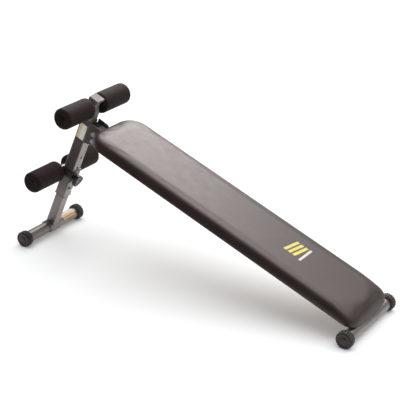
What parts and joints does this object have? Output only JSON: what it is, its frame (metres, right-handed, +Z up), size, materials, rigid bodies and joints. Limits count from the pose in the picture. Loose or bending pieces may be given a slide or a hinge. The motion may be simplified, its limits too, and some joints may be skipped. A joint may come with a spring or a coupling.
{
  "type": "decline sit up bench",
  "caption": "Decline sit up bench: long padded board on a beam, folding front post with height leg, and two pairs of foam foot rollers.",
  "frame": {"origin": "on the floor, under the middle of the bench's bounding box", "axes": "+X along the bench from the foot rollers down to the low rear end, +Y across it, +Z up"},
  "size_m": [1.452, 0.3736, 0.6186],
  "materials": {
    "frame_paint": "satin dark metallic grey paint",
    "dark_paint": "satin black paint",
    "holder_paint": "satin light grey paint",
    "pad_vinyl": "semi-gloss black upholstery vinyl with a fine grain",
    "roller_foam": "matt black closed-cell foam",
    "foot_rubber": "matt black ribbed rubber",
    "black_plastic": "matt black moulded plastic",
    "knob_plastic": "matt dark grey moulded plastic",
    "zinc_steel": "bright zinc-plated steel",
    "plywood": "raw plywood"
  },
  "bodies": {
    "bench": {"main_beam": "frame_paint", "hinge_bush": "dark_paint", "beam_front_cap": "black_plastic", "front_pad_strap": "dark_paint", "rear_pad_strap": "dark_paint", "pad_board": "plywood", "bench_pad": "pad_vinyl", "pad_bolts": "zinc_steel", "pad_washers": "zinc_steel", "pad_tee_nuts": "zinc_steel", "rear_foot_tube": "frame_paint", "rear_foot_cap_left": "foot_rubber", "rear_foot_cap_right": "foot_rubber", "lock_bolt": "zinc_steel", "lock_nut": "zinc_steel", "lock_washers": "zinc_steel"},
    "post": {"post_outer_tube": "frame_paint", "hinge_bracket": "frame_paint", "pivot_bolt": "zinc_steel", "pivot_nut": "zinc_steel", "pivot_washers": "zinc_steel", "leg_guide_sleeve": "black_plastic", "leg_clamp_bolt": "zinc_steel", "leg_clamp_washer": "zinc_steel", "upper_roller_holder": "holder_paint", "upper_roller_bar": "dark_paint", "upper_bar_plugs": "black_plastic"},
    "leg": {"leg_inner_tube": "frame_paint", "foot_saddle": "frame_paint", "front_foot_tube": "frame_paint", "front_foot_cap_left": "foot_rubber", "front_foot_cap_right": "foot_rubber"},
    "carriage": {"roller_carriage": "dark_paint", "knob_boss": "dark_paint", "lower_roller_bar": "dark_paint", "lower_bar_plugs": "black_plastic"},
    "stud": {"lock_stud": "zinc_steel"},
    "knob": {"lock_knob": "knob_plastic"},
    "upper_roller_left": {"upper_roller_left_foam": "roller_foam", "upper_roller_left_core": "black_plastic"},
    "upper_roller_right": {"upper_roller_right_foam": "roller_foam", "upper_roller_right_core": "black_plastic"},
    "lower_roller_left": {"lower_roller_left_foam": "roller_foam", "lower_roller_left_core": "black_plastic"},
    "lower_roller_right": {"lower_roller_right_foam": "roller_foam", "lower_roller_right_core": "black_plastic"}
  },
  "joints": [
    {"name": "post_fold", "type": "hinge", "parent": "bench", "child": "post", "pos_m": [-0.444, 0, 0.446], "axis": [0, -1, 0], "range_deg": [0, 92]},
    {"name": "leg_height", "type": "slide", "parent": "post", "child": "leg", "axis": [-0.4035, 0, -0.915], "range_m": [0, 0.05]},
    {"name": "lower_roller_height", "type": "slide", "parent": "post", "child": "carriage", "axis": [0.4035, 0, 0.915], "range_m": [0, 0.099]},
    {"name": "lock_stud_slide", "type": "slide", "parent": "carriage", "child": "stud", "axis": [0.915, 0, -0.4035], "range_m": [-0.006, 0]},
    {"name": "lock_knob_turn", "type": "hinge", "parent": "stud", "child": "knob", "pos_m": [-0.54088, 0, 0.25116], "axis": [0.915, 0, -0.4035], "range_deg": [0, 1440]},
    {"name": "upper_left_spin", "type": "hinge", "parent": "post", "child": "upper_roller_left", "pos_m": [-0.4582, -0.107, 0.57493], "axis": [0, 1, 0], "continuous": true},
    {"name": "upper_right_spin", "type": "hinge", "parent": "post", "child": "upper_roller_right", "pos_m": [-0.4582, 0.107, 0.57493], "axis": [0, 1, 0], "continuous": true},
    {"name": "lower_left_spin", "type": "hinge", "parent": "carriage", "child": "lower_roller_left", "pos_m": [-0.62156, -0.107, 0.29002], "axis": [0, 1, 0], "continuous": true},
    {"name": "lower_right_spin", "type": "hinge", "parent": "carriage", "child": "lower_roller_right", "pos_m": [-0.62156, 0.107, 0.29002], "axis": [0, 1, 0], "continuous": true}
  ],
  "couplings": [
    {"joint": "lock_stud_slide", "follows": "lock_knob_turn", "m_per_rad": -0.00023873}
  ]
}
